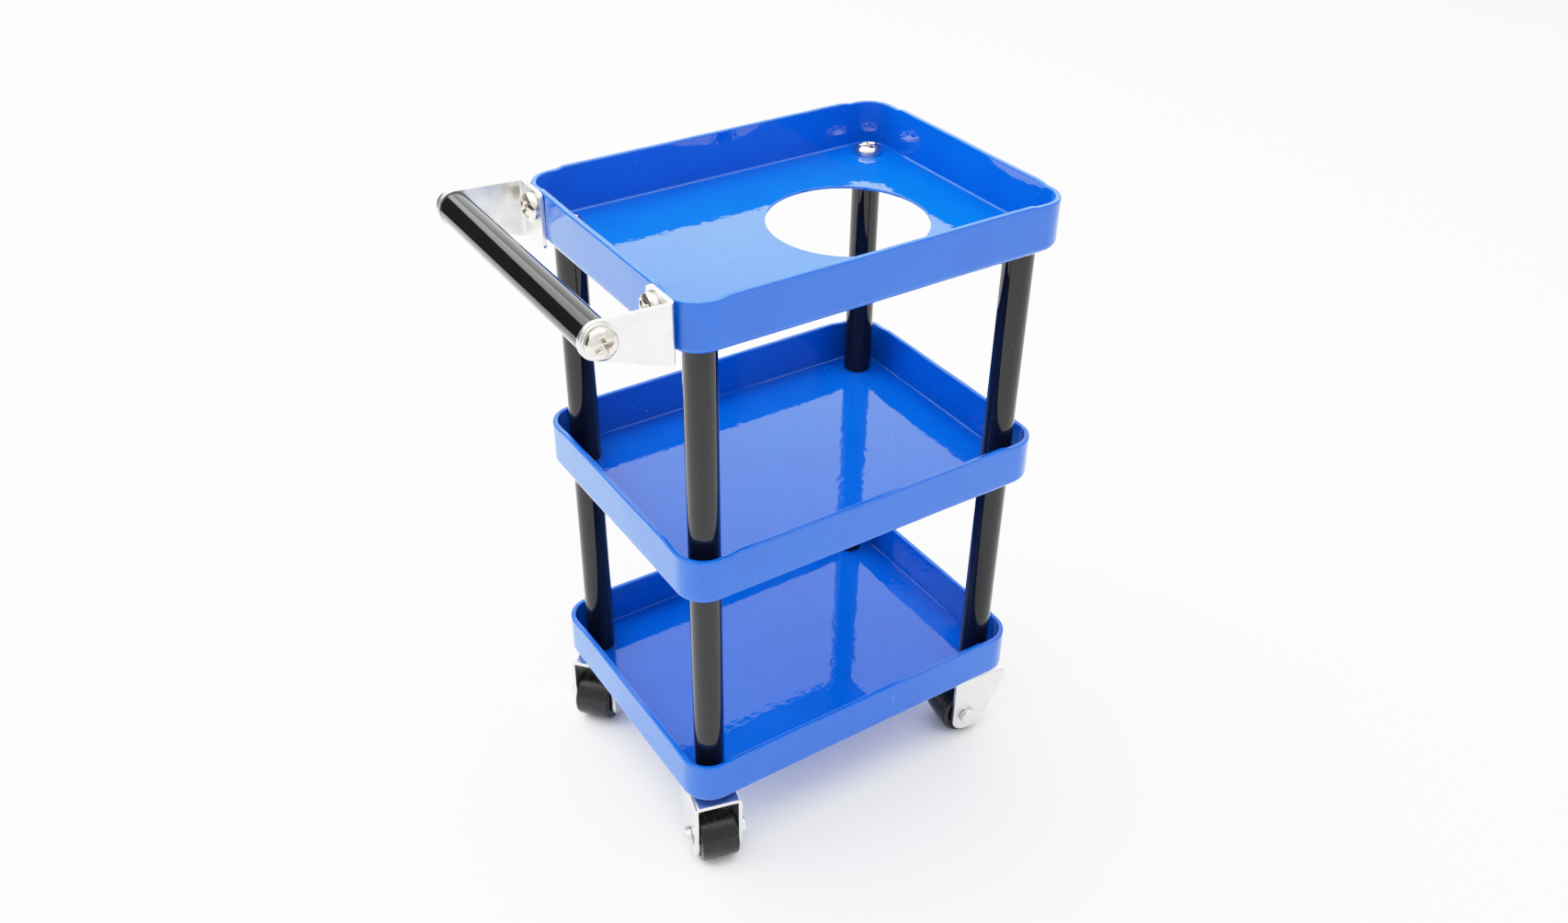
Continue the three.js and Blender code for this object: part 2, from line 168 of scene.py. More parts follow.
def fill(outline, holes, cuts=()):
    """Triangles that fill an outline around its holes, with an edge along each cut across it."""
    points, edges = [], []
    for loop in (outline, *holes):
        first = len(points)
        points += loop
        edges += [(first + i, first + (i + 1) % len(loop)) for i in range(len(loop))]
    for a, b in cuts:
        edges.append((len(points), len(points) + 1))
        points += [a, b]
    found, _, faces, *_ = delaunay_2d_cdt(points, edges, [], 1, 1e-5)
    kept = []
    for face in faces:
        middle = sum((found[i] for i in face), Vector((0, 0))) / len(face)
        if inside(middle, outline) and not any(inside(middle, hole) for hole in holes):
            kept.append(face)
    used = sorted({i for face in kept for i in face})
    place = {old: new for new, old in enumerate(used)}
    return [found[i] for i in used], [tuple(place[i] for i in face) for face in kept]


# Making meshes

def new_mesh(name, points, faces):
    """A mesh in metres from points in millimetres, shaded smooth except at its creases."""
    mesh = bpy.data.meshes.new(name)
    mesh.from_pydata([Vector(p) * MM for p in points], [], faces)
    mesh.validate()
    mesh.polygons.foreach_set("use_smooth", [True] * len(mesh.polygons))
    mesh.set_sharp_from_angle(angle=CREASE)
    return mesh


def turned(name, outline, segments):
    """A solid turned about Z from a closed outline of (radius, height) points."""
    points = []
    for i in range(segments):
        angle = 4 * QUARTER * i / segments
        points += [(r * math.cos(angle), r * math.sin(angle), z) for r, z in outline]
    count = len(outline)
    faces = []
    for i in range(segments):
        for k in range(count):
            a, b = i * count + k, i * count + (k + 1) % count
            c, d = (i + 1) % segments * count + (k + 1) % count, (i + 1) % segments * count + k
            faces.append((a, d, c, b))
    mesh = new_mesh(name, points, faces)
    return with_modifiers(mesh, weld=True)


def with_modifiers(mesh, weld=False, thickness=0.0, edge_radius=0.0, cutters=()):
    """The mesh after welding, thickening, cutting and edge rounding, with its normals set by face area."""
    holder = bpy.data.objects.new(mesh.name, mesh)
    bpy.context.scene.collection.objects.link(holder)
    if weld:
        holder.modifiers.new("weld", "WELD").merge_threshold = 0.001 * MM
    if thickness:
        solidify = holder.modifiers.new("thickness", "SOLIDIFY")
        solidify.thickness = thickness * MM
        solidify.offset = -1
        solidify.use_even_offset = True
    for cutter in cutters:
        boolean = holder.modifiers.new("cut", "BOOLEAN")
        boolean.object = cutter
        boolean.operation = "DIFFERENCE"
    if edge_radius:
        bevel = holder.modifiers.new("edges", "BEVEL")
        bevel.width = edge_radius * MM
        bevel.segments = 3
        bevel.limit_method = "ANGLE"
        bevel.angle_limit = ROUNDED_EDGE
    weighted = holder.modifiers.new("normals", "WEIGHTED_NORMAL")
    weighted.keep_sharp = True
    weighted.weight = 80
    graph = bpy.context.evaluated_depsgraph_get()
    result = bpy.data.meshes.new_from_object(holder.evaluated_get(graph))
    result.name = mesh.name
    bpy.data.objects.remove(holder)
    bpy.data.meshes.remove(mesh)
    return result


def bent_sheet(name, outline, holes, bend_starts, fold, mirrored):
    """A piece of sheet metal, cut flat to an outline and then bent.

    Each bend starts at a given distance along the sheet; fold gives a flat point's place in space.
    The outline is the sheet's outer face. Mirrored says that fold turns it over.
    """
    steps = 6
    cuts = []
    low = min(p.y for p in outline) - 1
    high = max(p.y for p in outline) + 1
    for start in bend_starts:
        for k in range(steps + 1):
            along = start + BEND_RADIUS * QUARTER * k / steps
            cuts.append((Vector((along, low)), Vector((along, high))))
    points, faces = fill(outline, holes, cuts)
    if mirrored:
        faces = [tuple(reversed(face)) for face in faces]
    mesh = new_mesh(name, [fold(p) for p in points], faces)
    return with_modifiers(mesh, thickness=ZINC_SHEET, edge_radius=SHEET_EDGE_RADIUS)


def add_piece(node, mesh, material, place=None, keeps_axes=False):
    """Shows a mesh in place of a CAD node, riding on that node's body.

    The place goes into the mesh itself, except on a piece that keeps its own axes to turn about.
    """
    place = place or Matrix.Identity(4)
    if not keeps_axes:
        mesh = mesh.copy()
        mesh.transform(place)
    piece = bpy.data.objects.new(f"look_{node}", mesh)
    bpy.context.scene.collection.objects.link(piece)
    if keeps_axes:
        piece.matrix_world = place
    if not mesh.materials:
        mesh.materials.append(material)
    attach(piece, BODY_OF[node])
    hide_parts(node)


# Materials

def add_node(tree, kind, inputs=None, **settings):
    """One shader node. An input is a value, or another node's output socket."""
    made = tree.nodes.new(kind)
    for name, value in settings.items():
        setattr(made, name, value)
    for name, value in (inputs or {}).items():
        if isinstance(value, bpy.types.NodeSocket):
            tree.links.new(value, made.inputs[name])
        else:
            made.inputs[name].default_value = value
    return made


def math_node(tree, operation, a, b):
    return add_node(tree, "ShaderNodeMath", {0: a, 1: b}, operation=operation).outputs[0]


def mixed(tree, share, a, b):
    """Colour a, going over to colour b by share."""
    node = add_node(tree, "ShaderNodeMix", data_type="RGBA")
    for socket, value in ((0, share), (6, a), (7, b)):
        if isinstance(value, bpy.types.NodeSocket):
            tree.links.new(value, node.inputs[socket])
        else:
            node.inputs[socket].default_value = value
    return node.outputs[2]


def blur(tree, place, feature_mm, detail=2.0):
    """Soft noise from 0 to 1 with features of this size."""
    noise_node = add_node(
        tree, "ShaderNodeTexNoise", {"Vector": place, "Scale": 1 / (feature_mm * MM), "Detail": detail})
    return noise_node.outputs["Fac"]


def ranged(tree, value, low, high, to_low, to_high):
    node = add_node(
        tree, "ShaderNodeMapRange",
        {"Value": value, "From Min": low, "From Max": high, "To Min": to_low, "To Max": to_high})
    return node.outputs["Result"]


def specks(tree, place, spacing_mm, radius_mm, share):
    """1 on small round specks: about one cell in 1/share has one."""
    cells = add_node(tree, "ShaderNodeTexVoronoi", {"Vector": place, "Scale": 1 / (spacing_mm * MM)})
    spot = ranged(tree, cells.outputs["Distance"], 0.6 * radius_mm / spacing_mm, radius_mm / spacing_mm, 1, 0)
    colour = add_node(tree, "ShaderNodeSeparateColor", {"Color": cells.outputs["Color"]})
    chosen = math_node(tree, "LESS_THAN", colour.outputs["Red"], share)
    return math_node(tree, "MULTIPLY", spot, chosen)


def new_material(name, slot, **sockets):
    """A material with its shader's own values set, with its tree, shader and object coordinates."""
    material = bpy.data.materials.new(name)
    material.use_nodes = True
    material["slot"] = slot
    tree = material.node_tree
    shader = tree.nodes["Principled BSDF"]
    for socket, value in sockets.items():
        shader.inputs[socket].default_value = value
    place = add_node(tree, "ShaderNodeTexCoord").outputs["Object"]
    return material, tree, shader, place


def bump(tree, shader, height, depth_mm):
    node = add_node(tree, "ShaderNodeBump", {"Height": height, "Distance": depth_mm * MM, "Strength": 1.0})
    tree.links.new(node.outputs["Normal"], shader.inputs["Normal"])


def glossy_paint(name, slot, colour, dust, ior, peel_mm):
    """Sprayed gloss paint: faint orange peel, uneven gloss, settled dust and a few pits."""
    material, tree, shader, place = new_material(name, slot, IOR=ior)
    shade = ranged(tree, blur(tree, place, 9.0), 0.3, 0.7, 0.92, 1.06)
    painted = mixed(tree, shade, (0, 0, 0, 1), (*colour, 1))
    dusty = specks(tree, place, 3.4, 0.16, 0.10)
    fine_dust = specks(tree, place, 1.3, 0.07, 0.16)
    pits = specks(tree, place, 7.0, 0.3, 0.05)
    all_dust = math_node(tree, "MAXIMUM", dusty, fine_dust)
    with_dust = mixed(tree, math_node(tree, "MULTIPLY", all_dust, 0.6), painted, (*dust, 1))
    dark = (colour[0] * 0.15, colour[1] * 0.15, colour[2] * 0.15, 1)
    tree.links.new(mixed(tree, pits, with_dust, dark), shader.inputs["Base Color"])
    gloss = ranged(tree, blur(tree, place, 5.0, 4.0), 0.3, 0.75, 0.02, 0.06)
    rough = math_node(tree, "ADD", gloss, math_node(tree, "MULTIPLY", all_dust, 0.4))
    tree.links.new(rough, shader.inputs["Roughness"])
    peel = math_node(tree, "ADD", blur(tree, place, 1.5, 1.0), math_node(tree, "MULTIPLY", all_dust, 0.8))
    height = math_node(tree, "SUBTRACT", peel, math_node(tree, "MULTIPLY", pits, 2.0))
    bump(tree, shader, height, peel_mm)
    return material


def zinc_plate():
    """Bright zinc plating: mottled grey crystals, dull spots and fine pits."""
    material, tree, shader, place = new_material("zinc_plate", "zinc", Metallic=1.0)
    crystals = add_node(tree, "ShaderNodeTexVoronoi", {"Vector": place, "Scale": 1 / (1.1 * MM)})
    crystal = add_node(tree, "ShaderNodeSeparateColor", {"Color": crystals.outputs["Color"]})
    cloud = blur(tree, place, 3.0, 4.0)
    tone = math_node(tree, "ADD", cloud, math_node(tree, "MULTIPLY", crystal.outputs["Green"], 0.15))
    plated = mixed(tree, ranged(tree, tone, 0.3, 1.0, 0, 1), (0.62, 0.63, 0.61, 1), (0.84, 0.85, 0.83, 1))
    spots = specks(tree, place, 1.7, 0.16, 0.12)
    tree.links.new(mixed(tree, spots, plated, (0.16, 0.16, 0.15, 1)), shader.inputs["Base Color"])
    dull = math_node(tree, "MULTIPLY", spots, 0.3)
    rough = math_node(tree, "ADD", ranged(tree, tone, 0.3, 1.0, 0.36, 0.26), dull)
    tree.links.new(rough, shader.inputs["Roughness"])
    grain = math_node(tree, "SUBTRACT", blur(tree, place, 0.5, 3.0), spots)
    bump(tree, shader, grain, 0.01)
    return material


def nickel_plate(name, bright, dull):
    """Nickel plating, with tarnish where tools and fingers haven't rubbed it."""
    material, tree, shader, place = new_material(name, "nickel", Metallic=1.0)
    cloud = blur(tree, place, 1.4, 4.0)
    rubbed = ranged(tree, cloud, 0.35, 0.7, 0, 1)
    tree.links.new(mixed(tree, rubbed, dull, bright), shader.inputs["Base Color"])
    tree.links.new(ranged(tree, cloud, 0.35, 0.7, 0.26, 0.12), shader.inputs["Roughness"])
    bump(tree, shader, blur(tree, place, 0.35, 2.0), 0.012)
    return material


def wheel_plastic():
    """Black moulded plastic, scuffed around the tread by the floor."""
    material, tree, shader, place = new_material("wheel_plastic", "wheel_black", IOR=1.38)
    stretched = add_node(tree, "ShaderNodeMapping", {"Vector": place, "Scale": (1, 1, 9)}).outputs[0]
    scuffs = blur(tree, stretched, 4.0, 6.0)
    dust = specks(tree, place, 1.6, 0.12, 0.12)
    black, grey, pale = (0.006, 0.006, 0.007, 1), (0.04, 0.04, 0.04, 1), (0.3, 0.3, 0.3, 1)
    worn = mixed(tree, ranged(tree, scuffs, 0.55, 0.8, 0, 0.6), black, grey)
    tree.links.new(mixed(tree, dust, worn, pale), shader.inputs["Base Color"])
    tree.links.new(ranged(tree, scuffs, 0.35, 0.75, 0.2, 0.4), shader.inputs["Roughness"])
    bump(tree, shader, math_node(tree, "ADD", scuffs, dust), 0.012)
    return material


ENAMEL = glossy_paint("blue_enamel", "blue_enamel", (0.001, 0.10, 0.55), (0.55, 0.68, 0.95), 1.5, 0.02)
BLACK = glossy_paint("black_gloss", "black_gloss", (0.004, 0.004, 0.005), (0.5, 0.5, 0.52), 1.4, 0.006)
ZINC = zinc_plate()
NICKEL = nickel_plate("nickel_plate", (0.80, 0.77, 0.71, 1), (0.52, 0.46, 0.38, 1))
# The screws' cross recesses get a darker, browner copy of the nickel: painted shade in the recess, laid over the
# same tarnish as the rest of the head.
NICKEL_RECESS_SHADE = nickel_plate("nickel_recess_painted_shade", (0.52, 0.42, 0.31, 1), (0.17, 0.12, 0.08, 1))
WHEEL = wheel_plastic()


# Trays

def tray_stations():
    """Points around the tray's outside, each with its outward normal, closely spaced."""
    x, y = TRAY_LENGTH / 2 - TRAY_CORNER, TRAY_WIDTH / 2 - TRAY_CORNER
    corner_steps, spacing = 14, 1.3
    stations = []
    for quarter, (cx, cy) in enumerate(((x, y), (-x, y), (-x, -y), (x, -y))):
        for k in range(corner_steps + 1):
            angle = QUARTER * (quarter + k / corner_steps)
            normal = Vector((math.cos(angle), math.sin(angle)))
            stations.append((Vector((cx, cy)) + normal * TRAY_CORNER, normal))
        run = 2 * (x if quarter % 2 == 0 else y)
        spaces = round(run / spacing)
        start, normal = stations[-1]
        along = Vector((-normal.y, normal.x))
        stations += [(start + along * run * k / spaces, normal) for k in range(1, spaces)]
    return stations


def rim_drop(point, level):
    """How far the rim lies under its full height: stepped down at the corners, and slightly uneven."""
    reach_spread, slope_length = 1.8, 0.9
    ripple_length, ripple_depth = 7.0, 0.10
    reach = max(TRAY_LENGTH / 2 - abs(point.x), TRAY_WIDTH / 2 - abs(point.y))
    corner = Vector((math.copysign(1, point.x), math.copysign(1, point.y), level))
    long_side = abs(point.x) < TRAY_LENGTH / 2 - TRAY_CORNER
    edge = RIM_STEP_REACH + reach_spread * noise.noise(corner * 3.7 + Vector((0, 0, 5.0 * long_side)))
    step = min(max((edge - reach) / slope_length + 0.5, 0), 1)
    ripple = 0.5 + 0.5 * noise.noise(Vector((point.x / ripple_length, point.y / ripple_length, level)))
    return RIM_STEP * step + ripple_depth * ripple


def wall_dent(point, up, level):
    """How far the hand-bent wall leans in from its true plane: not at its foot, most at its rim."""
    wave_length, deepest = 14.0, 0.22
    wave = 0.5 + 0.5 * noise.noise(Vector((point.x / wave_length, point.y / wave_length, level + up)))
    return deepest * wave * up


def tray_profile():
    """The section through a tray's edge, from under the floor, over the rim and down to the floor's top.

    Each point is an inset from the tray's outside, and a height above its underside.
    """
    outer = INNER_FOLD + WALL_THICKNESS
    flat_strip, wall_steps = 1.5, 6
    flat = outer + flat_strip
    rim = TRAY_HEIGHT - PAINT_ROUND
    middle = WALL_THICKNESS / 2
    profile = [Vector((flat, 0))]
    profile += arc((outer, outer), outer, 3 * QUARTER, 2 * QUARTER, 8)
    profile += [Vector((0, outer + (rim - outer) * k / wall_steps)) for k in range(1, wall_steps)]
    profile += arc((PAINT_ROUND, rim), PAINT_ROUND, 2 * QUARTER, QUARTER, 5)
    profile.append(Vector((middle, TRAY_HEIGHT - RIM_GROOVE)))
    profile += arc((WALL_THICKNESS - PAINT_ROUND, rim), PAINT_ROUND, QUARTER, 0, 5)
    foot = FLOOR_SHEET + INNER_FOLD
    heights = [rim + (foot - rim) * k / wall_steps for k in range(1, wall_steps)]
    profile += [Vector((WALL_THICKNESS, height)) for height in heights]
    profile += arc((outer, foot), -INNER_FOLD, 0, QUARTER, 5)
    profile.append(Vector((flat, FLOOR_SHEET)))
    return profile


def tray(name, level, large_hole):
    """A folded pan: its edge swept around the floor, then the floor's two faces and its holes' walls."""
    stations = tray_stations()
    profile = tray_profile()
    count = len(stations)
    wall_foot = FLOOR_SHEET + INNER_FOLD
    points = []
    for inset, height in profile:
        up = max(height - wall_foot, 0) / (TRAY_HEIGHT - wall_foot)
        for point, normal in stations:
            flat = point - normal * (inset + wall_dent(point, up, level))
            points.append((flat.x, flat.y, level + height - up * rim_drop(point, level)))
    faces = []
    for row in range(len(profile) - 1):
        for i in range(count):
            k = (i + 1) % count
            faces.append((row * count + i, row * count + k, (row + 1) * count + k, (row + 1) * count + i))
    edge = [Vector(p[:2]) for p in points[:count]]
    post = middle_mm("upper_post_front_left")
    places = [(x * post.x, y * post.y) for x in (-1, 1) for y in (-1, 1)]
    holes = [circle(place, SCREW_HOLE_RADIUS, 20) for place in places]
    if large_hole:
        holes.append(circle(large_hole, LARGE_HOLE_RADIUS, 96))
    floor_points, floor_faces = fill(edge, holes)
    for height in (0, FLOOR_SHEET):
        first = len(points)
        points += [(p.x, p.y, level + height) for p in floor_points]
        for face in floor_faces:
            turned_face = face if height else reversed(face)
            faces.append(tuple(first + i for i in turned_face))
    for hole in holes:
        first, ring = len(points), len(hole)
        points += [(p.x, p.y, level + height) for height in (0, FLOOR_SHEET) for p in hole]
        for i in range(ring):
            k = (i + 1) % ring
            faces.append((first + k, first + i, first + ring + i, first + ring + k))
    mesh = with_modifiers(new_mesh(name, points, faces), weld=True)
    return with_modifiers(mesh, edge_radius=HOLE_EDGE_RADIUS)


def add_trays():
    """The three trays, of which only the top one has the large hole."""
    for node in ("bottom_tray", "middle_tray", "top_tray"):
        level = box_mm(node)[0].z
        large_hole = LARGE_HOLE if node == "top_tray" else None
        add_piece(node, tray(node, level, large_hole), ENAMEL)


# Posts, screws and other turned pieces

def rod_mesh(name, length):
    """A painted round rod about Z from z = 0, with softened ends and a tapped hole in each."""
    hole, depth, softening = 1.5, 9.0, 0.35
    outside = eased([(hole, 0), (POST_RADIUS, 0), (POST_RADIUS, length), (hole, length)], softening)
    outline = [p for p in outside if p.x > hole + 1e-6]
    tapped = [
        (hole, length), (hole, length - depth), (0.0, length - depth),
        (0.0, depth), (hole, depth), (hole, 0),
    ]
    return turned(name, [*outline, *[Vector(p) for p in tapped]], 72)


def recess_cutter():
    """The cross recess of a screw head as a solid: a cross that narrows downwards.

    Each level has its height over the head's top, its arms' half width, and their reach.
    """
    levels = ((0.4, 0.6, 2.3), (-0.6, 0.45, 1.5), (-1.3, 0.1, 0.25))
    points, faces = [], []
    for rise, half_width, reach in levels:
        quarter = [(half_width, half_width), (half_width, reach), (-half_width, reach)]
        for turn in range(4):
            c, s = round(math.cos(turn * QUARTER)), round(math.sin(turn * QUARTER))
            points += [(c * x - s * y, s * x + c * y, SCREW_HEAD_HEIGHT + rise) for x, y in quarter]
    ring = len(points) // len(levels)
    for level in range(len(levels) - 1):
        for i in range(ring):
            k = (i + 1) % ring
            faces.append((level * ring + k, level * ring + i, (level + 1) * ring + i, (level + 1) * ring + k))
    faces.append(tuple(range(ring)))
    faces.append(tuple(reversed(range(len(points) - ring, len(points)))))
    mesh = new_mesh("recess_cutter", points, faces)
    # The recess walls cut by this solid take the darker nickel, which paints shade into the recess.
    mesh.materials.append(NICKEL_RECESS_SHADE)
    cutter = bpy.data.objects.new("recess_cutter", mesh)
    bpy.context.scene.collection.objects.link(cutter)
    return cutter


def screw_mesh(name, shank_length):
    """A pan-head screw about Z: its head above z = 0, its shank below, a cross recess in the head."""
    thread, point, shoulder, brim_round = 1.45, 0.4, 0.85, 0.12
    dome_steps = 8
    head = []
    for k in range(dome_steps + 1):
        angle = QUARTER * k / dome_steps
        head.append((
            SCREW_HEAD_RADIUS * math.cos(angle) ** 0.8,
            shoulder + (SCREW_HEAD_HEIGHT - shoulder) * math.sin(angle) ** 1.1,
        ))
    head[-1] = (0.0, SCREW_HEAD_HEIGHT)
    foot = [(0.0, -shank_length), (thread - point, -shank_length), (thread, point - shank_length)]
    brim = [(thread, 0.0), (SCREW_HEAD_RADIUS - brim_round, 0.0), (SCREW_HEAD_RADIUS, brim_round)]
    body = turned(name, [Vector(p) for p in (*foot, *brim, *head)], 56)
    body.materials.append(NICKEL)
    cutter = recess_cutter()
    result = with_modifiers(body, cutters=[cutter])
    bpy.data.objects.remove(cutter)
    return result


def washer_mesh():
    hole, rim = SCREW_HOLE_RADIUS, 3.1
    outline = eased([(hole, 0), (rim, 0), (rim, WASHER_THICKNESS), (hole, WASHER_THICKNESS)], 0.12)
    return turned("washer", outline, 56)


def upright(x, y, z):
    return Matrix.Translation(Vector((x, y, z)) * MM)


def add_columns():
    """Four columns, each of two posts joined through the middle tray, with a screw at the top."""
    post = rod_mesh("post", POST_LENGTH)
    screw = screw_mesh("top_screw", SCREW_SHANK)
    first_turn, next_turn = 0.45, 1.9
    for number, corner in enumerate(CORNERS):
        for tier in ("lower", "upper"):
            node = f"{tier}_post_{corner}"
            low, middle = box_mm(node)[0], middle_mm(node)
            add_piece(node, post, BLACK, upright(middle.x, middle.y, low.z))
        node = f"top_screw_{corner}"
        high, middle = box_mm(node)[1], middle_mm(node)
        place = upright(middle.x, middle.y, high.z - SCREW_HEAD_HEIGHT)
        turn = Matrix.Rotation(first_turn + next_turn * number, 4, "Z")
        add_piece(node, screw, NICKEL, place @ turn)
        frame["nodes"][f"post_stud_{corner}"].material_slots[0].material = NICKEL


# Handle

def bracket_mesh(side):
    """The angle bracket: an ear that narrows to a round end at the rod, bent round to a screwed flange."""
    flange_corner = 1.2
    tip = ROD.x - EAR_RADIUS
    first_bend = REAR_WALL - BEND_RADIUS - tip
    bend = BEND_RADIUS * QUARTER
    flange_end = first_bend + bend + EAR_OUTSIDE - BEND_RADIUS - abs(FLANGE_EDGE)
    slope = math.atan2(ROD.z - BRACKET_FOOT, first_bend - EAR_RADIUS)
    distance = math.hypot(ROD.z - BRACKET_FOOT, first_bend - EAR_RADIUS)
    tangent = -slope - math.acos(EAR_RADIUS / distance)
    outline = [Vector((first_bend, BRACKET_FOOT))]
    corner_x = flange_end - flange_corner
    outline += arc((corner_x, BRACKET_FOOT + flange_corner), flange_corner, -QUARTER, 0, 5)
    outline += arc((corner_x, TOP_RIM - flange_corner), flange_corner, 0, QUARTER, 5)
    outline.append(Vector((first_bend, TOP_RIM)))
    outline += arc((EAR_RADIUS, ROD.z), EAR_RADIUS, QUARTER, 4 * QUARTER + tangent, 24)
    screw_along = first_bend + bend + EAR_OUTSIDE - BEND_RADIUS - BRACKET_SCREW.y
    centres = ((EAR_RADIUS, ROD.z), (screw_along, BRACKET_SCREW.z))
    holes = [circle(centre, SCREW_HOLE_RADIUS, 24) for centre in centres]

    def fold(p):
        across = max(p.x - first_bend - bend, 0)
        turn = min(max(p.x - first_bend, 0), bend) / BEND_RADIUS
        x = tip + min(p.x, first_bend) + BEND_RADIUS * math.sin(turn)
        y = EAR_OUTSIDE - BEND_RADIUS * (1 - math.cos(turn)) - across
        return (x, side * y, p.y)

    return bent_sheet(f"bracket_{side}", outline, holes, [first_bend], fold, mirrored=side > 0)


def add_handle():
    """The rod between its two brackets, and their screws, each turned to its own angle."""
    rod = rod_mesh("handle_rod", ROD_LENGTH)
    lay = upright(ROD.x, -ROD_LENGTH / 2, ROD.z) @ Matrix.Rotation(-QUARTER, 4, "X")
    add_piece("handle_rod", rod, BLACK, lay)
    washer = washer_mesh()
    end_screw = screw_mesh("end_screw", SCREW_SHANK)
    flange_screw = screw_mesh("flange_screw", size_mm("bracket_screw_left").x - SCREW_HEAD_HEIGHT)
    for name, side in SIDES.items():
        add_piece(f"handle_bracket_{name}", bracket_mesh(side), ZINC)
        outwards = Matrix.Rotation(-side * QUARTER, 4, "X")
        at_ear = upright(ROD.x, side * EAR_OUTSIDE, ROD.z)
        add_piece(f"handle_washer_{name}", washer, ZINC, at_ear @ outwards)
        spin = Matrix.Rotation(0.5 + side * 0.25, 4, "Z")
        on_washer = upright(0, side * WASHER_THICKNESS, 0) @ at_ear
        add_piece(f"handle_end_screw_{name}", end_screw, NICKEL, on_washer @ outwards @ spin)
        at_flange = upright(REAR_WALL - ZINC_SHEET, side * BRACKET_SCREW.y, BRACKET_SCREW.z)
        rearwards = Matrix.Rotation(-QUARTER, 4, "Y")
        spin = Matrix.Rotation(0.9 * side, 4, "Z")
        add_piece(f"bracket_screw_{name}", flange_screw, NICKEL, at_flange @ rearwards @ spin)


# Casters, drawn with the swivel axis on Z, the floor at z = 0 and the axle towards +X

def fork_mesh():
    """One strip of sheet bent into a fork: two ears with round feet, joined by a level plate."""
    ear = FORK_TOP - BEND_RADIUS - FORK_FOOT
    bend = BEND_RADIUS * QUARTER
    plate = 2 * (FORK_HALF_WIDTH - BEND_RADIUS)
    total = 2 * (ear + bend) + plate
    toe, heel, heel_place, heel_end = 3.0, 1.2, 0.6, 3 * QUARTER - 0.3
    shoulder, plate_corner = 11.0, 12.0
    foot = arc((toe, FORK_FRONT - toe), toe, QUARTER, 2 * QUARTER, 8)
    foot += arc((heel, heel_place), heel, 2 * QUARTER, heel_end, 5)
    foot += [Vector((shoulder, 0.5 - FORK_BACK)), Vector((plate_corner, -FORK_BACK))]
    outline = foot + [Vector((total - p.x, p.y)) for p in reversed(foot)]
    axle = axle_place("rear_right")
    pin_hole, bush_hole = 1.1, 2.2
    axle_along = axle.z - FORK_FOOT
    holes = [circle((along, axle.x), pin_hole, 20) for along in (axle_along, total - axle_along)]
    holes.append(circle((total / 2, 0), bush_hole, 28))

    def fold(p):
        half = abs(p.x - total / 2)
        turn = min(max(half - plate / 2, 0), bend) / BEND_RADIUS
        down = max(half - plate / 2 - bend, 0)
        y = min(half, plate / 2) + BEND_RADIUS * math.sin(turn)
        z = FORK_TOP - BEND_RADIUS * (1 - math.cos(turn)) - down
        return (p.y, math.copysign(y, p.x - total / 2), z)

    return bent_sheet("fork", outline, holes, [ear, ear + bend + plate], fold, mirrored=True)


def wheel_mesh():
    """The roller about Z: slightly crowned tread, round edges and a shallow dish in each side."""
    half, bore, hub, web = WHEEL_HALF_WIDTH, 1.05, 2.3, 4.4
    dish, draft, crown = 0.35, 0.1, 0.06
    side = [
        (bore, half), (hub, half), (hub + draft, half - dish),
        (web - draft, half - dish), (web, half), (WHEEL_RADIUS - crown, half),
    ]
    corners = [(r, -z) for r, z in side] + [(WHEEL_RADIUS, 0)] + side[::-1]
    return turned("wheel", eased(corners, 0.6, 4), 72)


def rivet_mesh():
    """The axle rivet about Z: a pin with a flat head, eased at its rim, outside each ear."""
    pin, ear = 1.0, FORK_HALF_WIDTH
    end = ear + RIVET_HEIGHT
    corners = [
        (0, -end), (RIVET_RADIUS, -end), (RIVET_RADIUS, -ear), (pin, -ear),
        (pin, ear), (RIVET_RADIUS, ear), (RIVET_RADIUS, end), (0, end),
    ]
    outline = [p for p in eased(corners, 0.3) if p.x > 1e-6]
    return turned("rivet", [Vector((0, -end)), *outline, Vector((0, end))], 48)


def bush_mesh():
    """The flanged bush about the swivel axis: a sleeve inside the fork, a flange between fork and tray."""
    sleeve, flange, bore, clearance = 2.1, 3.5, SCREW_HOLE_RADIUS, 0.1
    shoulder = FORK_TOP + clearance
    corners = [
        (bore, BUSH_FOOT), (sleeve, BUSH_FOOT), (sleeve, shoulder),
        (flange, shoulder), (flange, BUSH_TOP), (bore, BUSH_TOP),
    ]
    return turned("bush", eased(corners, 0.15), 48)


def axle_place(corner):
    """Where a caster's axle is, from its swivel axis, with X towards the axle."""
    swivel, spin = (Vector(JOINTS[f"{kind}_{corner}"]["pos_m"]) / MM for kind in ("swivel", "wheel_spin"))
    return Vector(((spin.xy - swivel.xy).length, 0, spin.z))


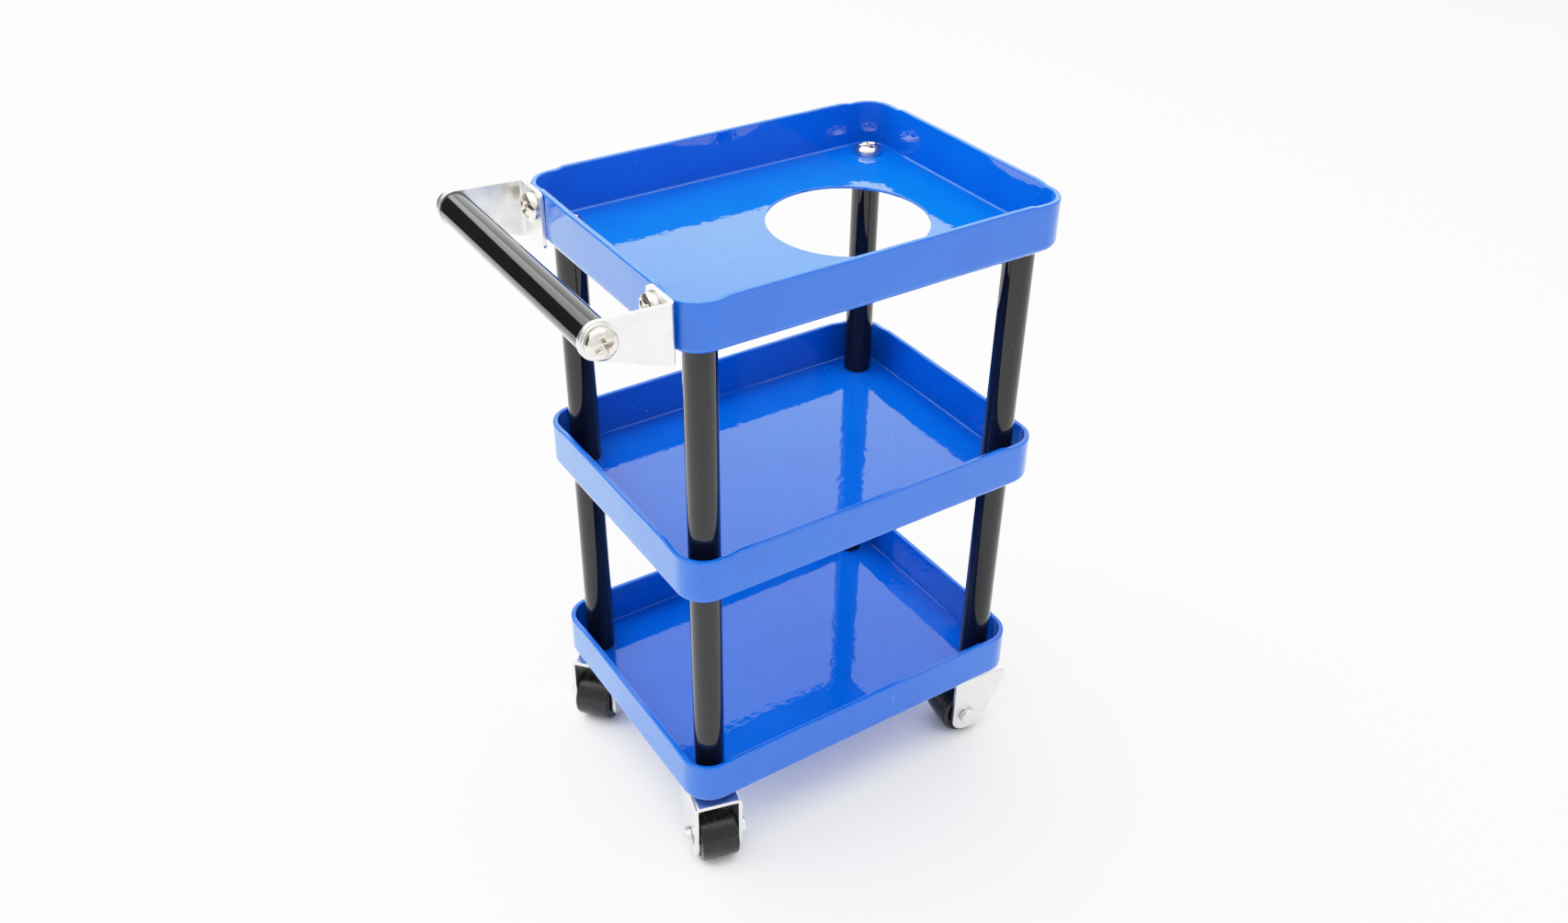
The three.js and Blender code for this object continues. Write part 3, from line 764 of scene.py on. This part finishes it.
def add_casters():
    """The four casters, each turned about its swivel so that its axle lies where the frame has it."""
    fork, wheel, rivet, bush = fork_mesh(), wheel_mesh(), rivet_mesh(), bush_mesh()
    screw = screw_mesh("caster_screw", size_mm("caster_screw_rear_right").z - SCREW_HEAD_HEIGHT)
    for corner in CORNERS:
        swivel = Vector(JOINTS[f"swivel_{corner}"]["pos_m"])
        spin = Vector(JOINTS[f"wheel_spin_{corner}"]["pos_m"])
        trail = math.atan2(spin.y - swivel.y, spin.x - swivel.x)
        stand = Matrix.Translation((swivel.x, swivel.y, 0)) @ Matrix.Rotation(trail, 4, "Z")
        across = Matrix.Translation(axle_place(corner) * MM) @ Matrix.Rotation(QUARTER, 4, "X")
        add_piece(f"caster_fork_{corner}", fork, ZINC, stand)
        add_piece(f"caster_wheel_{corner}", wheel, WHEEL, stand @ across, keeps_axes=True)
        add_piece(f"caster_axle_{corner}", rivet, ZINC, stand @ across)
        add_piece(f"caster_bush_{corner}", bush, ZINC, stand)
        head_down = Matrix.Rotation(2 * QUARTER, 4, "X")
        under = upright(0, 0, CASTER_SCREW_HEAD + SCREW_HEAD_HEIGHT)
        add_piece(f"caster_screw_{corner}", screw, NICKEL, stand @ under @ head_down)


# Studio

def studio_sheet(name, corners, colour, roughness):
    """A flat matt sheet of the studio, which isn't part of the cart."""
    mesh = bpy.data.meshes.new(name)
    mesh.from_pydata(corners, [], [(0, 1, 2, 3)])
    sheet = bpy.data.objects.new(name, mesh)
    bpy.context.scene.collection.objects.link(sheet)
    material = bpy.data.materials.new(name)
    material.use_nodes = True
    shader = material.node_tree.nodes["Principled BSDF"]
    shader.inputs["Base Color"].default_value = colour
    shader.inputs["Roughness"].default_value = roughness
    mesh.materials.append(material)
    return sheet


def add_floor():
    """A wide pale floor."""
    half = 3.0
    corners = [(-half, -half, 0), (half, -half, 0), (half, half, 0), (-half, half, 0)]
    studio_sheet("floor", corners, (0.86, 0.86, 0.855, 1), 0.9)


def add_dark_card():
    """A black card, seen only as the dark streak along the handle's gloss."""
    half, height = 0.45, 0.42
    corners = [(-half, 0, 0), (half, 0, 0), (half, 0, height), (-half, 0, height)]
    card = studio_sheet("dark_card", corners, (0.02, 0.02, 0.02, 1), 1.0)
    card.matrix_world = Matrix.Translation((-0.36, 0.33, 0.001)) @ Matrix.Rotation(QUARTER / 2, 4, "Z")
    card.visible_camera = False
    card.visible_diffuse = False
    card.visible_shadow = False


def add_softbox(name, place, target, size, watts):
    """A square soft light that faces its target and isn't seen itself."""
    light = bpy.data.lights.new(name, "AREA")
    light.shape = "SQUARE"
    light.size = size
    light.energy = watts
    lamp = bpy.data.objects.new(name, light)
    bpy.context.scene.collection.objects.link(lamp)
    lamp.location = place
    lamp.rotation_euler = (Vector(target) - Vector(place)).to_track_quat("-Z", "Y").to_euler()
    lamp.visible_camera = False


def light_room():
    """A white room that is brightest behind the cart."""
    world = bpy.data.worlds.new("white_room")
    bpy.context.scene.world = world
    world.use_nodes = True
    tree = world.node_tree
    direction = add_node(tree, "ShaderNodeTexCoord").outputs["Generated"]
    behind = Vector((0.47, 0.88, 0.05)).normalized()
    facing = add_node(tree, "ShaderNodeVectorMath", {0: direction, 1: behind}, operation="DOT_PRODUCT")
    dimmest, brightest = 1.15, 2.6
    strength = ranged(tree, facing.outputs["Value"], 0.6, 0.92, dimmest, brightest)
    background = tree.nodes["Background"]
    background.inputs["Color"].default_value = (1, 1, 1, 1)
    tree.links.new(strength, background.inputs["Strength"])
    add_softbox("rear_left", (-0.38, 0.50, 0.60), (-0.08, 0.08, 0.0), 1.1, 11.0)
    add_softbox("overhead", (0.10, -0.05, 0.82), (0.0, 0.0, 0.0), 0.8, 5.0)


def add_camera():
    """The camera of the photograph: a little left of the rear corner, looking down on the trays."""
    azimuth, elevation, roll = (math.radians(a) for a in (-33.51, 34.44, 0.91))
    place = Matrix.Translation((-0.13157, -0.19667, 0.23153))
    level = math.cos(elevation)
    back = Vector((math.sin(azimuth) * level, -math.cos(azimuth) * level, math.sin(elevation)))
    right = Matrix.Rotation(roll, 3, back) @ Vector((math.cos(azimuth), math.sin(azimuth), 0))
    up = back.cross(right)
    camera = bpy.data.objects.new("camera", bpy.data.cameras.new("camera"))
    bpy.context.scene.collection.objects.link(camera)
    camera.matrix_world = place @ Matrix((right, up, back)).transposed().to_4x4()
    camera.data.sensor_width = 36
    camera.data.lens = 32.2
    camera.data.clip_start = 0.01
    bpy.context.scene.camera = camera


def expose():
    """A photographic response: true tones up to middle grey, then a long soft shoulder to white."""
    white = 5.0
    knee, room = 0.45, 0.5

    def response(light):
        if light < knee:
            return light
        return knee + (1 - knee) * (1 - math.exp(-(light - knee) / room))

    settings = bpy.context.scene.view_settings
    settings.view_transform = "Standard"
    settings.use_curve_mapping = True
    mapping = settings.curve_mapping
    mapping.white_level = (white, white, white)
    curve = mapping.curves[3]
    curve.points[0].location = (0, 0)
    curve.points[1].location = (1, response(white))
    for light in (0.2, 0.45, 0.7, 1.0, 1.4, 2.0, 3.0, 4.0):
        curve.points.new(light / white, response(light))
    mapping.update()


add_trays()
add_columns()
add_handle()
add_casters()
add_floor()
add_dark_card()
light_room()
add_camera()
expose()
